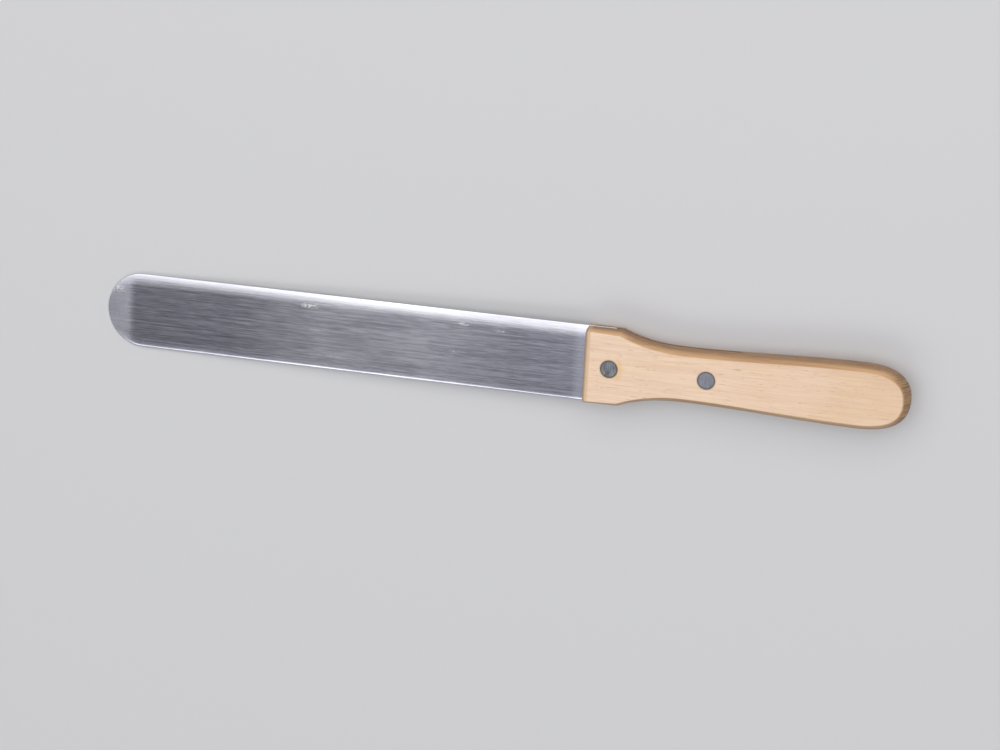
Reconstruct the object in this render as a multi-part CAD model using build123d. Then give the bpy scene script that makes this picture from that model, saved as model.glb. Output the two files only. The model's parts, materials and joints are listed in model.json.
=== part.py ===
from build123d import *
from math import degrees
import os

# A lab spatula: a flexible steel blade with a round tip, riveted into a slotted handle of beech.
#
# Every piece is drawn flat first. X runs from the blade's tip to the handle's butt, x = 0 is
# where the blade enters the handle, Y is across the blade, and z = 0 is mid-thickness of the
# blade and of the handle. The pieces are then laid down together as the spatula rests on a
# table: on the blade's tip and on the lower front edge of the handle, with the butt raised.
# The finished frame has its origin on the table, below the centre of the whole spatula.
# All sizes are in millimetres.

# Blade
blade_length = 198.3  # from the handle's front to the end of the tip
blade_width = 30.0
blade_thickness = 1.1
margin_width = 5.5  # ground strip along each long edge
margin_edge_thickness = 0.5
tip_ground_length = 9.0  # ground stretch across the round tip
tip_edge_thickness = 0.5

# Tang, the part of the blade's strip that lies inside the handle
tang_full_width_length = 11.0
tang_width = 14.0
tang_length = 57.0  # from the handle's front
tang_neck_radius = 3.0
tang_end_radius = 4.0

# Handle
handle_length = 125.2
handle_thickness = 11.5
bolster_length = 13.6  # the square front block, sanded flush with the blade's edges
bolster_front_ease = 1.3  # how far the front block's sides draw in at the flat faces
bolster_rear_ease = 1.8
neck_slope = -0.42  # of the side just behind the front block
waist_from_front = 39.4
waist_width = 16.4  # of the flat face
belly_from_butt = 19.4
belly_width = 20.4  # of the flat face
grip_bulge = 2.65  # how far the grip's rounded sides and butt swell past the flat faces
butt_side_reach = 11.2  # lengths of the two handles of the butt's curve
butt_end_reach = 7.3
front_edge_radius = 0.9
face_edge_radius = 0.25

# Saw slot in the handle
slot_end_gap = 3.0  # left past the end of the tang
slot_clearance = 0.05  # between tang and wood, on each side

# Rivets, each of two halves pressed together
front_rivet_from_front = 10.1
rear_rivet_from_tang_end = 9.0
rivet_head_diameter = 6.9
rivet_head_thickness = 1.4
rivet_shank_diameter = 4.8
rivet_pin_diameter = 3.0
rivet_clearance = 0.05  # around heads and shank, in wood and tang
pin_clearance = 0.02  # around the pin, in the socket half
pin_end_gap = 0.3  # left at the bottom of the socket and past the end of the shank
head_recess = 0.05  # the heads are sanded down to just below the wood

half_width = blade_width / 2
half_thickness = handle_thickness / 2
slot_length = tang_length + slot_end_gap
slot_thickness = blade_thickness + 2 * slot_clearance
rivet_places = {"front": front_rivet_from_front, "rear": tang_length - rear_rivet_from_tang_end}
shank_hole_radius = rivet_shank_diameter / 2 + rivet_clearance
under_head = half_thickness - head_recess - rivet_head_thickness  # height of a head's inner face

# The side's profile from mid-thickness to a flat face is a power curve: a high power is a
# straight side with an eased edge, and a power of two is a full round.
BOLSTER_FRONT_POWER = 4
BOLSTER_REAR_POWER = 3
GRIP_POWER = 2
LEVELS = (-1, -0.92, -0.75, -0.45, 0, 0.45, 0.75, 0.92, 1)


def ground_end(start, end, edge_thickness):
    """One end of the blade's section: two arcs that thin it from start to the edge at end."""
    outward = (end - start, 0)
    upper = TangentArc((start, blade_thickness / 2), (end, edge_thickness / 2), tangent=outward)
    lower = TangentArc((start, -blade_thickness / 2), (end, -edge_thickness / 2), tangent=outward)
    return upper, Line(upper @ 1, lower @ 1), lower


def blade_with_tang():
    """One strip of steel: the ground blade with its round tip, and the plain tang."""
    flat = half_width - margin_width
    left = ground_end(-flat, -half_width, margin_edge_thickness)
    right = ground_end(flat, half_width, margin_edge_thickness)
    top = Line(left[0] @ 0, right[0] @ 0)
    bottom = Line(left[2] @ 0, right[2] @ 0)
    across = make_face([Plane.YZ * edge for edge in (*left, *right, top, bottom)])
    strip = extrude(across, -blade_length)

    tip = ground_end(tip_ground_length - blade_length, -blade_length, tip_edge_thickness)
    back = Line((0, blade_thickness / 2), (0, -blade_thickness / 2))
    top = Line(tip[0] @ 0, back @ 0)
    bottom = Line(tip[2] @ 0, back @ 1)
    along = make_face([Plane.XZ * edge for edge in (*tip, top, bottom, back)])
    strip &= extrude(along, half_width, both=True)

    straight_length = blade_length - half_width
    outline = Pos(-straight_length / 2, 0) * Rectangle(straight_length, blade_width)
    outline += Pos(-straight_length, 0) * Circle(half_width)
    strip &= extrude(outline, blade_thickness, both=True)

    root = Pos(tang_full_width_length / 2, 0) * Rectangle(tang_full_width_length, blade_width)
    tail = Pos(tang_length / 2, 0) * Rectangle(tang_length, tang_width)
    plan = root + tail
    plan = fillet(plan.vertices().group_by(Axis.X)[-1], tang_end_radius)
    necks = plan.vertices().sort_by_distance((tang_full_width_length, 0, 0))[:2]
    plan = fillet(necks, tang_neck_radius)
    tang = extrude(plan, blade_thickness / 2, both=True)
    for x in rivet_places.values():
        tang -= Pos(x, 0, 0) * Cylinder(shank_hole_radius, 2 * blade_thickness)
    return strip + tang


def handle_outline(level):
    """The handle's outline at a level, which is 0 at mid-thickness and 1 or -1 at a flat face."""
    share = abs(level)
    front = half_width - bolster_front_ease * share**BOLSTER_FRONT_POWER
    rear = half_width - bolster_rear_ease * share**BOLSTER_REAR_POWER
    swell = grip_bulge * (1 - share**GRIP_POWER)
    waist = waist_width / 2 + swell
    belly = belly_width / 2 + swell
    butt = handle_length - grip_bulge + swell
    belly_x = handle_length - belly_from_butt
    neck_third = (waist_from_front - bolster_length) / 3
    grip_third = (belly_x - waist_from_front) / 3

    edges = [Line((0, -front), (0, front))]
    for side in (1, -1):
        edges.append(Line((0, side * front), (bolster_length, side * rear)))
        edges.append(Bezier(
            (bolster_length, side * rear),
            (bolster_length + neck_third, side * (rear + neck_slope * neck_third)),
            (waist_from_front - neck_third, side * waist),
            (waist_from_front, side * waist),
        ))
        edges.append(Bezier(
            (waist_from_front, side * waist),
            (waist_from_front + grip_third, side * waist),
            (belly_x - grip_third, side * belly),
            (belly_x, side * belly),
        ))
        edges.append(Bezier(
            (belly_x, side * belly),
            (belly_x + butt_side_reach, side * belly),
            (butt, side * (butt_end_reach + swell)),
            (butt, 0),
        ))
    return Pos(0, 0, level * half_thickness) * make_face(edges)


def handle():
    """One piece of beech with a saw slot for the tang and two stepped rivet holes."""
    wood = loft([handle_outline(level) for level in LEVELS])
    wood = fillet(wood.edges().group_by(Axis.X)[0], front_edge_radius)
    rims = wood.faces().filter_by(Plane.XY).edges()
    behind_front = [e for e in rims if e.center().X > front_edge_radius]
    wood = fillet(behind_front, face_edge_radius)

    wood -= Pos(slot_length / 2, 0, 0) * Box(slot_length, 2 * blade_width, slot_thickness)
    seat = Cylinder(rivet_head_diameter / 2 + rivet_clearance, 2 * (half_thickness - under_head))
    for x in rivet_places.values():
        wood -= Pos(x, 0, 0) * Cylinder(shank_hole_radius, handle_thickness)
        for side in (1, -1):
            wood -= Pos(x, 0, side * half_thickness) * seat
    return wood


def rivet_head(side):
    """A rivet's flat head, just below the wood's upper (1) or lower (-1) face."""
    middle = side * (under_head + rivet_head_thickness / 2)
    return Pos(0, 0, middle) * Cylinder(rivet_head_diameter / 2, rivet_head_thickness)


def rivet_socket_half():
    """The upper half of a rivet: a head on a hollow shank that reaches nearly through."""
    shank_length = 2 * under_head - pin_end_gap
    bore_length = shank_length - pin_end_gap
    shank = Pos(0, 0, under_head) * Cylinder(
        rivet_shank_diameter / 2, shank_length, align=(Align.CENTER, Align.CENTER, Align.MAX)
    )
    bore = Pos(0, 0, under_head - shank_length) * Cylinder(
        rivet_pin_diameter / 2 + pin_clearance,
        bore_length,
        align=(Align.CENTER, Align.CENTER, Align.MIN),
    )
    return rivet_head(1) + shank - bore


def rivet_pin_half():
    """The lower half of a rivet: a head with the solid pin that is pressed into the socket."""
    pin_length = 2 * under_head - 2 * pin_end_gap
    pin = Pos(0, 0, -under_head) * Cylinder(
        rivet_pin_diameter / 2, pin_length, align=(Align.CENTER, Align.CENTER, Align.MIN)
    )
    return rivet_head(-1) + pin


pieces = {
    "blade_with_tang": blade_with_tang(),
    "handle": handle(),
}
for place, x in rivet_places.items():
    pieces[f"{place}_rivet_socket_half"] = Pos(x, 0, 0) * rivet_socket_half()
    pieces[f"{place}_rivet_pin_half"] = Pos(x, 0, 0) * rivet_pin_half()

# The whole spatula turns about Y until its tip and the front of its handle are equally low.
SETTLING_STEPS = 4
rest_angle = 0.0
for _ in range(SETTLING_STEPS):
    laid = Rot(0, rest_angle, 0)
    tip_low = (laid * pieces["blade_with_tang"]).bounding_box().min.Z
    handle_low = (laid * pieces["handle"]).bounding_box().min.Z
    rest_angle -= degrees((tip_low - handle_low) / blade_length)

laid = Rot(0, rest_angle, 0)
box = Compound([laid * piece for piece in pieces.values()]).bounding_box()
on_table = Pos(-box.center().X, -box.center().Y, -box.min.Z) * laid

os.makedirs("parts", exist_ok=True)
for name, piece in pieces.items():
    export_step(on_table * piece, f"parts/{name}.step")
print("rest angle", round(rest_angle, 3), "box", box.size)
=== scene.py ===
import bmesh
import bpy
import json
from math import atan2, cos, pi, radians, sin, sqrt
from mathutils import Matrix, Vector


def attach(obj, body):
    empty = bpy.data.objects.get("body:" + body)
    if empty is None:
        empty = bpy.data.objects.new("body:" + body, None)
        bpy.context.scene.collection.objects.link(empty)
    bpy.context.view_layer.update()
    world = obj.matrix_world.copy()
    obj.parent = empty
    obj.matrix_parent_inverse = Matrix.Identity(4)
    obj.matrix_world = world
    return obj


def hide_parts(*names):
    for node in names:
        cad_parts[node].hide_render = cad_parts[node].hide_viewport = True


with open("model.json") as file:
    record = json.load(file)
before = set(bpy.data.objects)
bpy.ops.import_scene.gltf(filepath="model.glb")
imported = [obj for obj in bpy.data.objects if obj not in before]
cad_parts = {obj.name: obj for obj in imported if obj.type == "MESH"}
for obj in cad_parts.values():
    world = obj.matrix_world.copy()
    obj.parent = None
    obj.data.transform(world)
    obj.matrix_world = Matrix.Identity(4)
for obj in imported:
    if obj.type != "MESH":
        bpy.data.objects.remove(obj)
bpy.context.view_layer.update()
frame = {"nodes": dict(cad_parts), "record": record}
scene = bpy.context.scene


# Camera. It stands about a metre above the spatula, a little towards the butt and the +Y side,
# and looks down on the broad face. The tip is on the left of the view and the butt on the right.
camera_place = Vector((0.23083, 0.26984, 1.00590))
camera_aim = Vector((0.00261, -0.00870, 0.00595))
camera_roll = radians(3.0)
camera_lens = 98.34
camera_sensor = 36.0
camera_clip_start = 0.01

camera_back = (camera_place - camera_aim).normalized()
camera_right = Vector((0, 1, 0)).cross(camera_back).normalized()
camera_up = camera_back.cross(camera_right)
camera_turn = Matrix((camera_right, camera_up, camera_back)).transposed()
camera_turn = Matrix.Rotation(camera_roll, 3, camera_back) @ camera_turn
bpy.ops.object.camera_add(location=camera_place, rotation=camera_turn.to_euler())
camera = bpy.context.object
camera.data.lens = camera_lens
camera.data.sensor_width = camera_sensor
camera.data.clip_start = camera_clip_start
scene.camera = camera


# Table and light. A plain pale table top in a dim room, with a darker corner high up past the
# tip. One broad soft lamp hangs overhead and a long one leans in from the -Y side.
table_size = 8.0
table_colour = (0.62, 0.62, 0.63, 1)
room_colour = (0.96, 0.96, 1.0, 1)
room_strength = 0.44
corner_strength = 0.165
corner_direction = (-0.42, -0.28, 0.86)
corner_reach = (0.02, 0.24)  # how far off that direction the corner starts to fade, and ends
overhead_place = (0.07, 1.334, 1.5)
below_overhead = (0.07, 1.334, 0)
near_side_place = (-0.3, -1.35, 1.35)
near_side_aim = (-0.1, 0, 0)

scene.view_settings.view_transform = "Standard"

bpy.ops.mesh.primitive_plane_add(size=table_size)
table = bpy.context.object
table.name = "table"
table_paint = bpy.data.materials.new("pale_table_paint")
table_paint.use_nodes = True
table_shader = table_paint.node_tree.nodes["Principled BSDF"]
table_shader.inputs["Base Color"].default_value = table_colour
table_shader.inputs["Roughness"].default_value = 0.6
table.data.materials.append(table_paint)

room = bpy.data.worlds.new("dim_room")
room.use_nodes = True
room_tree = room.node_tree
room_direction = room_tree.nodes.new("ShaderNodeTexCoord").outputs["Generated"]
from_corner = room_tree.nodes.new("ShaderNodeVectorMath")
from_corner.operation = "DISTANCE"
from_corner.inputs[1].default_value = corner_direction
room_tree.links.new(room_direction, from_corner.inputs[0])
room_brightness = room_tree.nodes.new("ShaderNodeMapRange")
room_brightness.interpolation_type = "SMOOTHSTEP"
room_brightness.inputs["From Min"].default_value = corner_reach[0]
room_brightness.inputs["From Max"].default_value = corner_reach[1]
room_brightness.inputs["To Min"].default_value = corner_strength
room_brightness.inputs["To Max"].default_value = room_strength
room_tree.links.new(from_corner.outputs["Value"], room_brightness.inputs["Value"])
background = room_tree.nodes["Background"]
room_tree.links.new(room_brightness.outputs["Result"], background.inputs["Strength"])
background.inputs["Color"].default_value = room_colour
scene.world = room


def soft_lamp(name, place, faces, size, watts, slant=0.0):
    """A soft rectangular lamp at a place that faces a point, turned about the upright by slant."""
    turn = (Vector(faces) - Vector(place)).to_track_quat("-Z", "Y")
    turn = Matrix.Rotation(slant, 3, "Z") @ turn.to_matrix()
    bpy.ops.object.light_add(type="AREA", location=place, rotation=turn.to_euler())
    lamp = bpy.context.object
    lamp.name = name
    lamp.data.shape = "RECTANGLE"
    lamp.data.size, lamp.data.size_y = size
    lamp.data.energy = watts


soft_lamp("overhead_lamp", overhead_place, below_overhead, (3.2, 3.2), 37, slant=radians(-10))
soft_lamp("near_side_lamp", near_side_place, near_side_aim, (1.9, 0.7), 6.4)


# Blade with tang. One strip of spring-tempered stainless steel, ground thin along both edges and
# across its round tip, and brushed lengthwise. Behind the handle's front edge the strip stays
# full thickness, then narrows to a tail that runs down the handle's saw slot.
millimetre = 0.001

# The strip is drawn flat, with its origin at the junction of blade and handle, and is then laid
# down at the slight turn that the handle's upper grip face has.
grip_axis = Vector(frame["record"]["mounts"][0]["axis"])
rest_turn = atan2(grip_axis.x, grip_axis.z)
laid = Matrix.Rotation(rest_turn, 3, "Y")
flat_corners = [laid.inverted() @ v.co for v in frame["nodes"]["handle"].data.vertices]
flat_levels = [corner.z for corner in flat_corners]
handle_front = min(corner.x for corner in flat_corners)
junction = laid @ Vector((handle_front, 0, (min(flat_levels) + max(flat_levels)) / 2))

blade_length = 198.3 * millimetre
blade_half_width = 15.0 * millimetre
blade_thickness = 1.1 * millimetre
margin_width = 5.5 * millimetre
margin_edge_thickness = 0.5 * millimetre
tip_ground_length = 9.0 * millimetre
tip_edge_thickness = 0.5 * millimetre
# By side, -Y and +Y: how far in from the edge the wear reaches, and how deep it is at the edge.
worn_edges = {-1: (1.1 * millimetre, 0.18 * millimetre), 1: (0.25 * millimetre, 0.07 * millimetre)}
tang_shoulder = 11.0 * millimetre
tang_half_width = 7.0 * millimetre
tang_length = 57.0 * millimetre
tang_end_radius = 4.0 * millimetre
tang_neck_radius = 3.0 * millimetre
rivet_places = (10.1 * millimetre, 48.0 * millimetre)
rivet_hole_radius = 2.45 * millimetre
drill_length = 10.0 * millimetre

# Where the strip is cut into rows: across it from the middle, and along it from the round tip.
side_lines = [0, 3.5, 7, 9.5, 10.4, 11.3, 12.2, 13.1, 13.6, 13.9, 14.2, 14.5, 14.75, 14.85, 14.95]
side_lines = [line * millimetre for line in side_lines]
straight_stations = (-165, -140, -110, -80, -50, -25, -10, -1, -0.2, 0)
behind_junction = 0.4 * millimetre
round_steps = 26
first_angle = radians(4)
same_place = 0.004 * millimetre  # points closer than this count as one place
along_axis = 0.9  # a direction whose part along an axis is more than this counts as along it
crease_angle = radians(35)


def pick(piece, kind, wanted):
    """In edit mode, selects only the verts, edges or faces whose middle and normal are wanted."""
    mesh = bmesh.from_edit_mesh(piece.data)
    for part in (*mesh.verts, *mesh.edges, *mesh.faces):
        part.select = False
    bpy.context.tool_settings.mesh_select_mode = (kind == "verts", kind == "edges", kind == "faces")
    mesh.select_mode = {kind[:-1].upper()}
    mesh.normal_update()
    for part in getattr(mesh, kind):
        if kind == "verts":
            middle = part.co
        elif kind == "edges":
            middle = (part.verts[0].co + part.verts[1].co) / 2
        else:
            middle = part.calc_center_median()
        if wanted(middle, part):
            part.select = True
    mesh.select_flush_mode()
    bmesh.update_edit_mesh(piece.data)


def ground_share(inwards, width, edge_thickness, worn_width, worn_depth):
    """The thickness, at a distance in from a ground edge, over the full thickness."""
    if inwards >= width:
        return 1.0
    lost = (blade_thickness - edge_thickness) * ((width - inwards) / width) ** 2
    if inwards < worn_width:
        worn = (worn_width - inwards) / worn_width
        lost += 2 * worn_depth * (1 - sqrt(1 - worn**2))
    return 1 - lost / blade_thickness


bpy.ops.object.select_all(action="DESELECT")
bpy.ops.mesh.primitive_cube_add(size=1, location=((tang_shoulder - blade_length) / 2, 0, 0))
blade = bpy.context.object
blade.name = "ground_blade"
blade.scale = (blade_length + tang_shoulder, 2 * blade_half_width, blade_thickness)
bpy.ops.object.transform_apply(location=True, rotation=True, scale=True)

bpy.ops.object.mode_set(mode="EDIT")
# The middle line is the same on both sides, so a set of its two sides holds it once.
for line in side_lines:
    for side in {line, -line}:
        bpy.ops.mesh.select_all(action="SELECT")
        bpy.ops.mesh.bisect(plane_co=(0, side, 0), plane_no=(0, 1, 0))
side_lines.append(blade_half_width)

# Each station along the blade with the blade's half width there.
angle_step = (pi / 2 - first_angle) / round_steps
round_angles = [first_angle + angle_step * step for step in range(round_steps + 1)]
stations = {-blade_length: blade_half_width * sin(first_angle)}
for angle in round_angles[1:]:
    stations[blade_half_width * (1 - cos(angle)) - blade_length] = blade_half_width * sin(angle)
for x in straight_stations:
    stations[x * millimetre] = blade_half_width
for x in (*list(stations)[1:], behind_junction):
    bpy.ops.mesh.select_all(action="SELECT")
    bpy.ops.mesh.bisect(plane_co=(x, 0, 0), plane_no=(1, 0, 0))

for x, half_width in stations.items():
    narrowing = half_width / blade_half_width
    for line in side_lines:
        inwards = (1 - line / blade_half_width) * half_width
        for side in {1 if line else -1, -1}:
            share = min(
                ground_share(inwards, margin_width, margin_edge_thickness, *worn_edges[side]),
                ground_share(x + blade_length, tip_ground_length, tip_edge_thickness,
                             *worn_edges[1]),
            )
            pick(blade, "verts", lambda at, vert: abs(at.x - x) < same_place
                 and abs(at.y - side * line) < same_place)
            bpy.ops.transform.resize(value=(1, narrowing, share), center_override=(0, 0, 0))

pick(blade, "faces", lambda at, face: face.normal.x > along_axis
     and abs(at.y) < tang_half_width and at.x > tang_shoulder - same_place)
tail_length = tang_length - tang_shoulder
bpy.ops.mesh.extrude_region_move(TRANSFORM_OT_translate={"value": (tail_length, 0, 0)})
for corner_x, radius in ((tang_length, tang_end_radius), (tang_shoulder, tang_neck_radius)):
    pick(blade, "edges", lambda at, edge: abs(at.x - corner_x) < same_place
         and abs(abs(at.y) - tang_half_width) < same_place
         and abs((edge.verts[0].co - edge.verts[1].co).normalized().z) > along_axis)
    bpy.ops.mesh.bevel(offset=radius, segments=8, affect="EDGES")
bpy.ops.object.mode_set(mode="OBJECT")

for x in rivet_places:
    bpy.ops.mesh.primitive_cylinder_add(vertices=64, radius=rivet_hole_radius, depth=drill_length,
                                        location=(x, 0, 0))
    drill = bpy.context.object
    bpy.ops.object.select_all(action="DESELECT")
    blade.select_set(True)
    bpy.context.view_layer.objects.active = blade
    bpy.ops.object.modifier_add(type="BOOLEAN")
    blade.modifiers[-1].object = drill
    bpy.ops.object.modifier_apply(modifier=blade.modifiers[-1].name)
    bpy.data.objects.remove(drill)

blade.rotation_euler = (0, rest_turn, 0)
blade.location = junction
bpy.ops.object.transform_apply(location=True, rotation=True, scale=True)
bpy.ops.object.shade_smooth_by_angle(angle=crease_angle)


class Finish:
    """A material being mixed, with short words for the nodes that this spatula's finishes use."""

    def __init__(self, name):
        self.material = bpy.data.materials.new(name)
        self.material.use_nodes = True
        self.tree = self.material.node_tree
        self.shader = self.tree.nodes["Principled BSDF"]
        self.object_place = self.tree.nodes.new("ShaderNodeTexCoord").outputs["Object"]

    def put(self, source, socket):
        """Links a socket, or writes a plain value, into another socket."""
        if isinstance(source, bpy.types.NodeSocket):
            self.tree.links.new(source, socket)
        else:
            socket.default_value = source

    def flat_place(self, unit=(1, 1, 1), origin=(0, 0)):
        """Coordinates on the spatula as drawn flat, in units and from a point in millimetres."""
        node = self.tree.nodes.new("ShaderNodeMapping")
        node.vector_type = "TEXTURE"
        self.tree.links.new(self.object_place, node.inputs["Vector"])
        place = Vector((*origin, 0)) * millimetre
        node.inputs["Location"].default_value = junction + laid @ place
        node.inputs["Rotation"].default_value = (0, rest_turn, 0)
        node.inputs["Scale"].default_value = [length * millimetre for length in unit]
        return node.outputs["Vector"]

    def part(self, place, axis):
        """The X, Y or Z of a place."""
        node = self.tree.nodes.new("ShaderNodeSeparateXYZ")
        self.tree.links.new(place, node.inputs["Vector"])
        return node.outputs[axis]

    def blots(self, size, detail=3.0, rough=0.5, bend=0.0):
        """Soft blots of a size in millimetres along, across and through the spatula."""
        node = self.tree.nodes.new("ShaderNodeTexNoise")
        self.tree.links.new(self.flat_place(size), node.inputs["Vector"])
        node.inputs["Scale"].default_value = 1.0
        node.inputs["Detail"].default_value = detail
        node.inputs["Roughness"].default_value = rough
        node.inputs["Distortion"].default_value = bend
        return node.outputs["Fac"]

    def reckon(self, operation, first, second=0.0):
        """One step of arithmetic."""
        node = self.tree.nodes.new("ShaderNodeMath")
        node.operation = operation
        self.put(first, node.inputs[0])
        self.put(second, node.inputs[1])
        return node.outputs["Value"]

    def plus(self, first, second):
        return self.reckon("ADD", first, second)

    def times(self, first, second):
        return self.reckon("MULTIPLY", first, second)

    def from_middle(self, place):
        """How far a place is from the upright line through its origin."""
        x, y = self.part(place, "X"), self.part(place, "Y")
        return self.reckon("SQRT", self.plus(self.times(x, x), self.times(y, y)))

    def rise(self, value, start, end, low=0.0, high=1.0):
        """A smooth step from low to high as the value goes from start to end."""
        node = self.tree.nodes.new("ShaderNodeMapRange")
        node.interpolation_type = "SMOOTHSTEP"
        for number, source in enumerate((value, start, end, low, high)):
            self.put(source, node.inputs[number])
        return node.outputs["Result"]

    def blend(self, share, first, second):
        """Two colours mixed by a share of the second."""
        node = self.tree.nodes.new("ShaderNodeMix")
        node.data_type = "RGBA"
        first_socket, second_socket = [s for s in node.inputs if s.type == "RGBA"]
        self.put(share, node.inputs["Factor"])
        self.put(first, first_socket)
        self.put(second, second_socket)
        return next(s for s in node.outputs if s.type == "RGBA")

    def bump(self, height, depth):
        """Puts a relief, of a depth in millimetres, on the shader."""
        node = self.tree.nodes.new("ShaderNodeBump")
        node.inputs["Strength"].default_value = 1.0
        node.inputs["Distance"].default_value = depth * millimetre
        self.tree.links.new(height, node.inputs["Height"])
        self.tree.links.new(node.outputs["Normal"], self.shader.inputs["Normal"])


dull_tones = (0.31, 0.31, 0.37, 1), (0.63, 0.63, 0.72, 1)
bright_tones = (0.56, 0.56, 0.65, 1), (0.87, 0.87, 0.94, 1)
# Painted highlight: the colour of the strip along the +Y edge.
painted_highlight_strip_colour = (0.96, 0.96, 1.0, 1)
# The ground tip's colour: its own ground finish, made paler by a painted reflection.
ground_tip_and_reflection_colour = (0.63, 0.63, 0.70, 1)
by_handle_colour = (0.76, 0.78, 0.90, 1)
tang_edge_colour = (0.95, 0.95, 0.97, 1)
scuff_colour = (1.0, 1.0, 1.0, 1)
scuffs = (  # middle, length and width in millimetres, and how much each shows
    (-193.4, 8, 3.4, 1.7, 0.5),
    (-113, 10, 4.5, 1.3, 0.9),
    (-109, 0.5, 5, 0.5, 0.5),
    (-104, -9.5, 11, 0.45, 0.5),
    (-50, 9.8, 3, 0.9, 0.7),
    (-35, 8.5, 3, 0.6, 0.6),
    (-52, -1.5, 4, 0.5, 0.45),
)

steel = Finish("brushed_blade_steel")
steel_place = steel.flat_place()
along, across = steel.part(steel_place, "X"), steel.part(steel_place, "Y")

# Brushed streaks, duller towards both ends of the blade and brighter in clouds at its middle.
fine_brushing = steel.blots((8, 0.22, 9), detail=4, rough=0.7)
long_brushing = steel.blots((60, 0.8, 9), detail=5, rough=0.65)
cloudiness = steel.blots((30, 9, 30), detail=3)
brushing = steel.plus(steel.times(fine_brushing, 0.6), steel.times(long_brushing, 0.4))
dull_steel = steel.blend(steel.rise(brushing, 0.36, 0.64), *dull_tones)
bright_steel = steel.blend(steel.rise(brushing, 0.33, 0.62), *bright_tones)
bright_middle = steel.times(steel.rise(along, -150, -105), steel.rise(along, -70, -22, 1.0, 0.0))
bright_middle = steel.times(bright_middle, steel.rise(cloudiness, 0.30, 0.62, 0.45, 0.95))
steel_colour = steel.blend(bright_middle, dull_steel, bright_steel)

# A paler strip along the +Y edge, a painted highlight where the overhead lamp's reflection falls;
# and the cloudier ground tip, painted paler, partly its ground finish and partly a painted
# reflection.
painted_highlight_strip = steel.rise(across, 9.8, 11.4, 0.0, 0.40)
steel_colour = steel.blend(painted_highlight_strip, steel_colour, painted_highlight_strip_colour)
from_tip = steel.plus(along, blade_length / millimetre)
wavy_from_tip = steel.plus(from_tip, steel.times(steel.blots((6, 5, 9)), 1.6))
# The ground tip's mask: it makes the tip rougher, and paints it paler as a painted reflection.
ground_tip_and_reflection = steel.rise(wavy_from_tip, 8.8, 13.0, 1.0, 0.0)
tip_cloud = steel.rise(steel.blots((5, 7, 9), detail=2), 0.35, 0.65, 0.55, 0.85)
steel_colour = steel.blend(steel.times(ground_tip_and_reflection, tip_cloud), steel_colour, ground_tip_and_reflection_colour)

# The last millimetres before the handle, and the tang's sanded edges in the handle's sides.
by_handle = steel.rise(along, -6.5, -2.5, 0.0, 0.5)
steel_colour = steel.blend(by_handle, steel_colour, by_handle_colour)
at_side = steel.rise(steel.reckon("ABSOLUTE", across), 14.7, 14.95)
tang_edge = steel.times(at_side, steel.rise(along, -0.1, 0.1))
steel_colour = steel.blend(tang_edge, steel_colour, tang_edge_colour)

# Scuffs, brighter and a little duller in their shine, broken up by small blots.
scuffed = 0.0
for x, y, length, width, share in scuffs:
    from_scuff = steel.from_middle(steel.flat_place((length, width, 1), (x, y)))
    scuff = steel.times(
        steel.rise(steel.times(from_scuff, from_scuff), 0.1, 1.2, share, 0.0),
        steel.rise(steel.blots((1.1, 0.7, 9), detail=2), 0.38, 0.62),
    )
    steel_colour = steel.blend(scuff, steel_colour, scuff_colour)
    scuffed = steel.reckon("MAXIMUM", scuff, scuffed)

steel_roughness = steel.rise(brushing, 0.3, 0.7, 0.15, 0.22)
steel_roughness = steel.plus(steel_roughness, steel.times(ground_tip_and_reflection, 0.10))
steel_roughness = steel.plus(steel_roughness, steel.times(tang_edge, 0.45))
steel_roughness = steel.plus(steel_roughness, steel.times(scuffed, 0.12))
steel.put(steel_colour, steel.shader.inputs["Base Color"])
steel.put(steel_roughness, steel.shader.inputs["Roughness"])
steel.shader.inputs["Metallic"].default_value = 1.0
steel.bump(brushing, 0.004)
blade.data.materials.append(steel.material)
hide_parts("blade_with_tang")
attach(blade, "root")


# Handle. One piece of straight-grained beech, sawn open from the front for the tang, sanded flush
# with the steel and lightly oiled. Its broad faces are pale and its rounded sides darker.
handle_length = 125.2
handle_half_thickness = 5.75
pale_at_front, pale_at_butt = (0.880, 0.672, 0.488, 1), (0.795, 0.580, 0.390, 1)
growth_colour = (0.74, 0.51, 0.35, 1)
patch_colour = (0.87, 0.66, 0.53, 1)
# The rounded sides' tones, partly the wood's own colour and partly painted shade.
side_and_shade_tones = (0.70, 0.42, 0.215, 1), (0.54, 0.305, 0.145, 1)
# Painted shade for the middle of the sides' height.
side_middle_shade_colour = (0.22, 0.13, 0.075, 1)
grain_colour = (0.63, 0.41, 0.25, 1)
fleck_colour = (0.50, 0.30, 0.18, 1)
front_edge_colour = (0.60, 0.42, 0.25, 1)
# Painted shade for the eased rim at the front end.
front_rim_shade_colour = (0.30, 0.20, 0.125, 1)
# Painted shade for the side at -Y.
near_side_shade_colour = (0.33, 0.23, 0.14, 1)
end_grain_tones = (0.42, 0.26, 0.13, 1), (0.18, 0.11, 0.065, 1)
bruise_colour = (0.45, 0.30, 0.18, 1)
# Painted shadow colour for the wood behind the front rivet.
painted_rivet_shadow_colour = (0.78, 0.50, 0.24, 1)


def paint(node_name, material):
    """Gives a CAD node one material."""
    node = frame["nodes"][node_name]
    node.data.materials.clear()
    node.data.materials.append(material)


beech = Finish("oiled_beech")
beech_place = beech.flat_place()
along, across = beech.part(beech_place, "X"), beech.part(beech_place, "Y")
level = beech.reckon("ABSOLUTE", beech.part(beech_place, "Z"))

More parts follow.
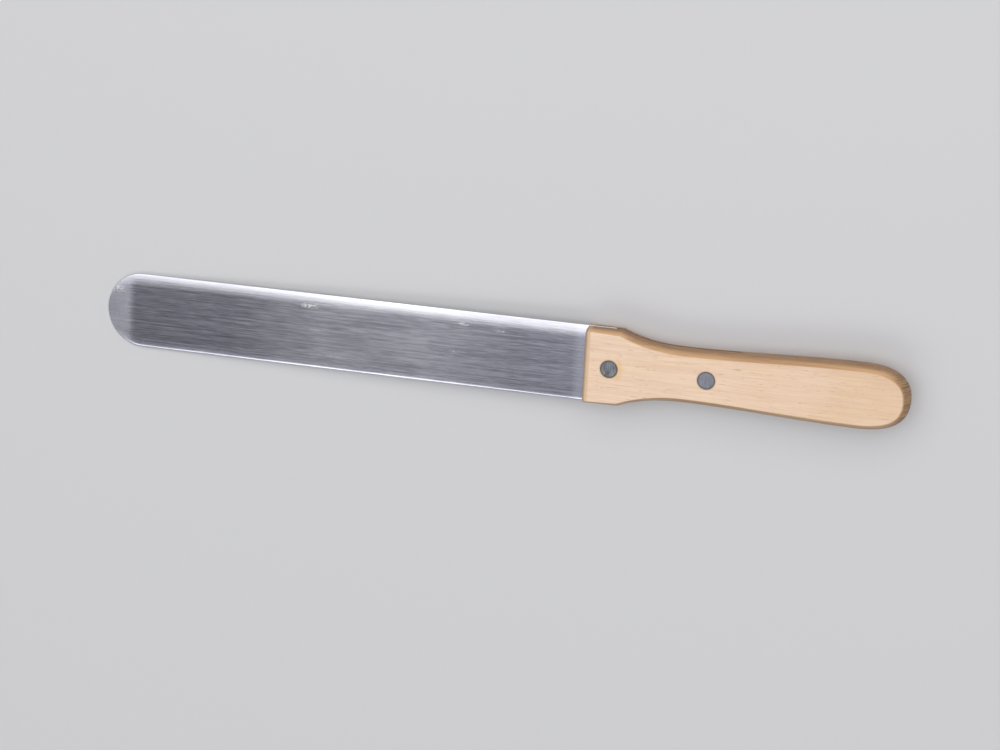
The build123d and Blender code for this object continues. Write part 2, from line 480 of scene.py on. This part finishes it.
# Pale broad faces and darker rounded sides, with the grain over both. The sides' darker tone is
# partly the wood's own colour and partly painted shade, and painted shade darkens them more towards
# the middle of their height.
growth = beech.blots((55, 2.4, 5), detail=5, rough=0.6, bend=0.4)
fine_grain = beech.blots((13, 0.33, 0.33), detail=3, rough=0.65)
patches = beech.blots((26, 9, 12), detail=2)
flecks = beech.rise(beech.blots((3.4, 0.5, 0.5), detail=1.5), 0.62, 0.76)
pale = beech.blend(beech.rise(along, 0, 118), pale_at_front, pale_at_butt)
pale = beech.blend(beech.rise(growth, 0.42, 0.62, 0.0, 0.5), pale, growth_colour)
pale = beech.blend(beech.rise(patches, 0.4, 0.62, 0.0, 0.35), pale, patch_colour)
side = beech.blend(beech.rise(growth, 0.4, 0.62), *side_and_shade_tones)
# Painted shade, darkest at the middle of the sides' height.
side = beech.blend(beech.rise(level, 5.3, 2.4, 0.0, 0.85), side, side_middle_shade_colour)
off_face = beech.rise(level, handle_half_thickness - 0.10, handle_half_thickness - 0.45)
wood = beech.blend(off_face, pale, side)
wood = beech.blend(beech.rise(fine_grain, 0.40, 0.66, 0.0, 0.34), wood, grain_colour)
wood = beech.blend(beech.times(flecks, 0.45), wood, fleck_colour)

# A golden-brown band along the front edge, a painted shade on the eased rim of the front end, a
# painted shade on the side at -Y, and the end grain round the butt.
wood = beech.blend(beech.rise(along, 1.5, 2.7, 0.70, 0.0), wood, front_edge_colour)
# Painted shade on the eased front rim.
wood = beech.blend(beech.rise(along, 0.6, 1.3, 0.75, 0.0), wood, front_rim_shade_colour)
# Painted shade on the side at -Y, below the broad face.
near_side = beech.times(beech.rise(across, -6.5, -9.5), beech.rise(level, 5.6, 5.2))
wood = beech.blend(beech.times(near_side, 0.45), wood, near_side_shade_colour)
end_streaks = beech.rise(beech.blots((9, 0.55, 9), detail=3, rough=0.6), 0.38, 0.60)
at_butt = beech.rise(along, handle_length - 8.5, handle_length - 1.8, 0.0, 0.9)
butt_share = beech.times(at_butt, beech.rise(level, 5.65, 4.6))
wood = beech.blend(butt_share, wood, beech.blend(end_streaks, *end_grain_tones))

# A darker ring round each rivet, and a painted shadow behind the front one.
for place in rivet_places:
    spot = beech.flat_place(origin=(place / millimetre, 0))
    from_rivet = beech.from_middle(spot)
    wood = beech.blend(beech.rise(from_rivet, 3.5, 4.1, 0.55, 0.0), wood, bruise_colour)
    if place == rivet_places[0]:
        # A painted shadow on the wood behind the front rivet.
        behind_rivet = beech.rise(beech.part(spot, "X"), 1.8, 3.8, 0.0, 0.6)
        painted_rivet_shadow = beech.times(beech.rise(from_rivet, 4.6, 6.2, 1.0, 0.0), behind_rivet)
        wood = beech.blend(painted_rivet_shadow, wood, painted_rivet_shadow_colour)

beech.put(wood, beech.shader.inputs["Base Color"])
beech.put(beech.rise(growth, 0.35, 0.65, 0.46, 0.58), beech.shader.inputs["Roughness"])
beech.shader.inputs["Specular IOR Level"].default_value = 0.35
beech.bump(beech.plus(fine_grain, beech.times(flecks, -0.5)), 0.03)
paint("handle", beech.material)


# Rivets. Two cutlery rivets of plain aluminium, each a pin half pressed into a socket half, with
# flat heads filed and sanded flush with the wood.
# The two rivets are one alloy. Their different tones are painted reflections: darker on the front
# rivet, a mid blue-grey on the rear one.
rivet_tones_and_reflections = {
    "front": ((0.12, 0.118, 0.118, 1), (0.31, 0.31, 0.31, 1)),
    "rear": ((0.20, 0.21, 0.235, 1), (0.30, 0.31, 0.35, 1)),
}
dull_spot_colour = (0.22, 0.25, 0.31, 1)
rivet_rim_colour = (0.10, 0.085, 0.075, 1)

for (name, tones), place in zip(rivet_tones_and_reflections.items(), rivet_places):
    alloy = Finish(f"filed_{name}_rivet_alloy")
    from_middle = alloy.from_middle(alloy.flat_place(origin=(place / millimetre, 0)))
    file_marks = alloy.blots((0.28, 3.2, 3.0), detail=2, rough=0.6, bend=0.5)
    dullness = alloy.blots((2.2, 2.6, 4), detail=2)
    colour = alloy.blend(alloy.rise(file_marks, 0.38, 0.62), *tones)
    colour = alloy.blend(alloy.rise(dullness, 0.45, 0.62, 0.0, 0.5), colour, dull_spot_colour)
    colour = alloy.blend(alloy.rise(from_middle, 2.7, 3.35, 0.0, 0.75), colour, rivet_rim_colour)
    alloy.put(colour, alloy.shader.inputs["Base Color"])
    alloy.put(alloy.rise(file_marks, 0.3, 0.7, 0.34, 0.5), alloy.shader.inputs["Roughness"])
    alloy.shader.inputs["Metallic"].default_value = 0.85
    alloy.bump(file_marks, 0.02)
    paint(f"{name}_rivet_socket_half", alloy.material)
    paint(f"{name}_rivet_pin_half", alloy.material)
